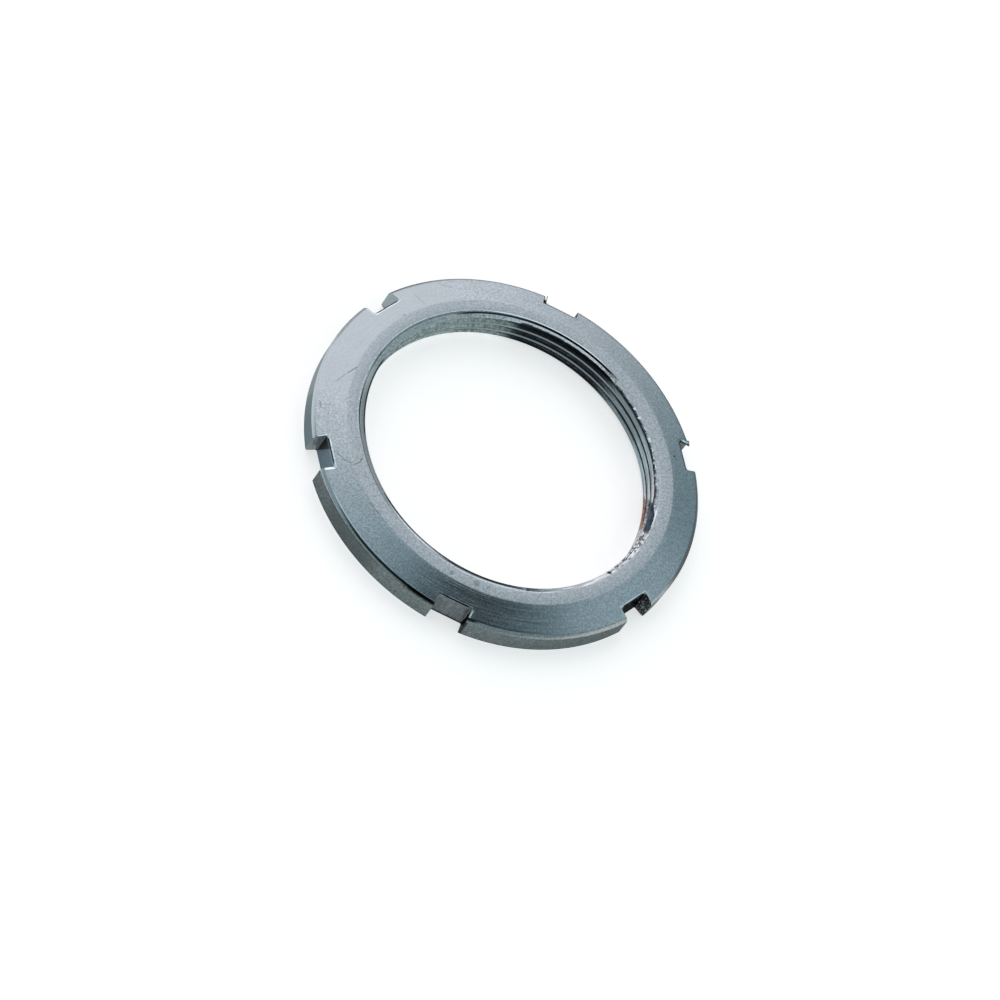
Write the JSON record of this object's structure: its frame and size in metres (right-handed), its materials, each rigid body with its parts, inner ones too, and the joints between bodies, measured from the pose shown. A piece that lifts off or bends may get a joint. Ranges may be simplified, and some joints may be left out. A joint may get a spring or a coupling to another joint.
{
  "type": "slotted lockring",
  "caption": "Flat steel ring nut with a fine-threaded bore, a bevelled front face and open spanner slots round its rim, for locking a sprocket on a threaded boss.",
  "frame": {"origin": "centre of the flat back face, on the axis of the bore", "axes": "+Z along the bore axis towards the bevelled front face, +X through the middle of a spanner slot"},
  "size_m": [0.0422, 0.0424, 0.0035],
  "materials": {
    "turned_steel": "satin turned steel, blue-grey, with fine concentric tool lines"
  },
  "bodies": {
    "root": {"lockring": "turned_steel"}
  },
  "joints": []
}
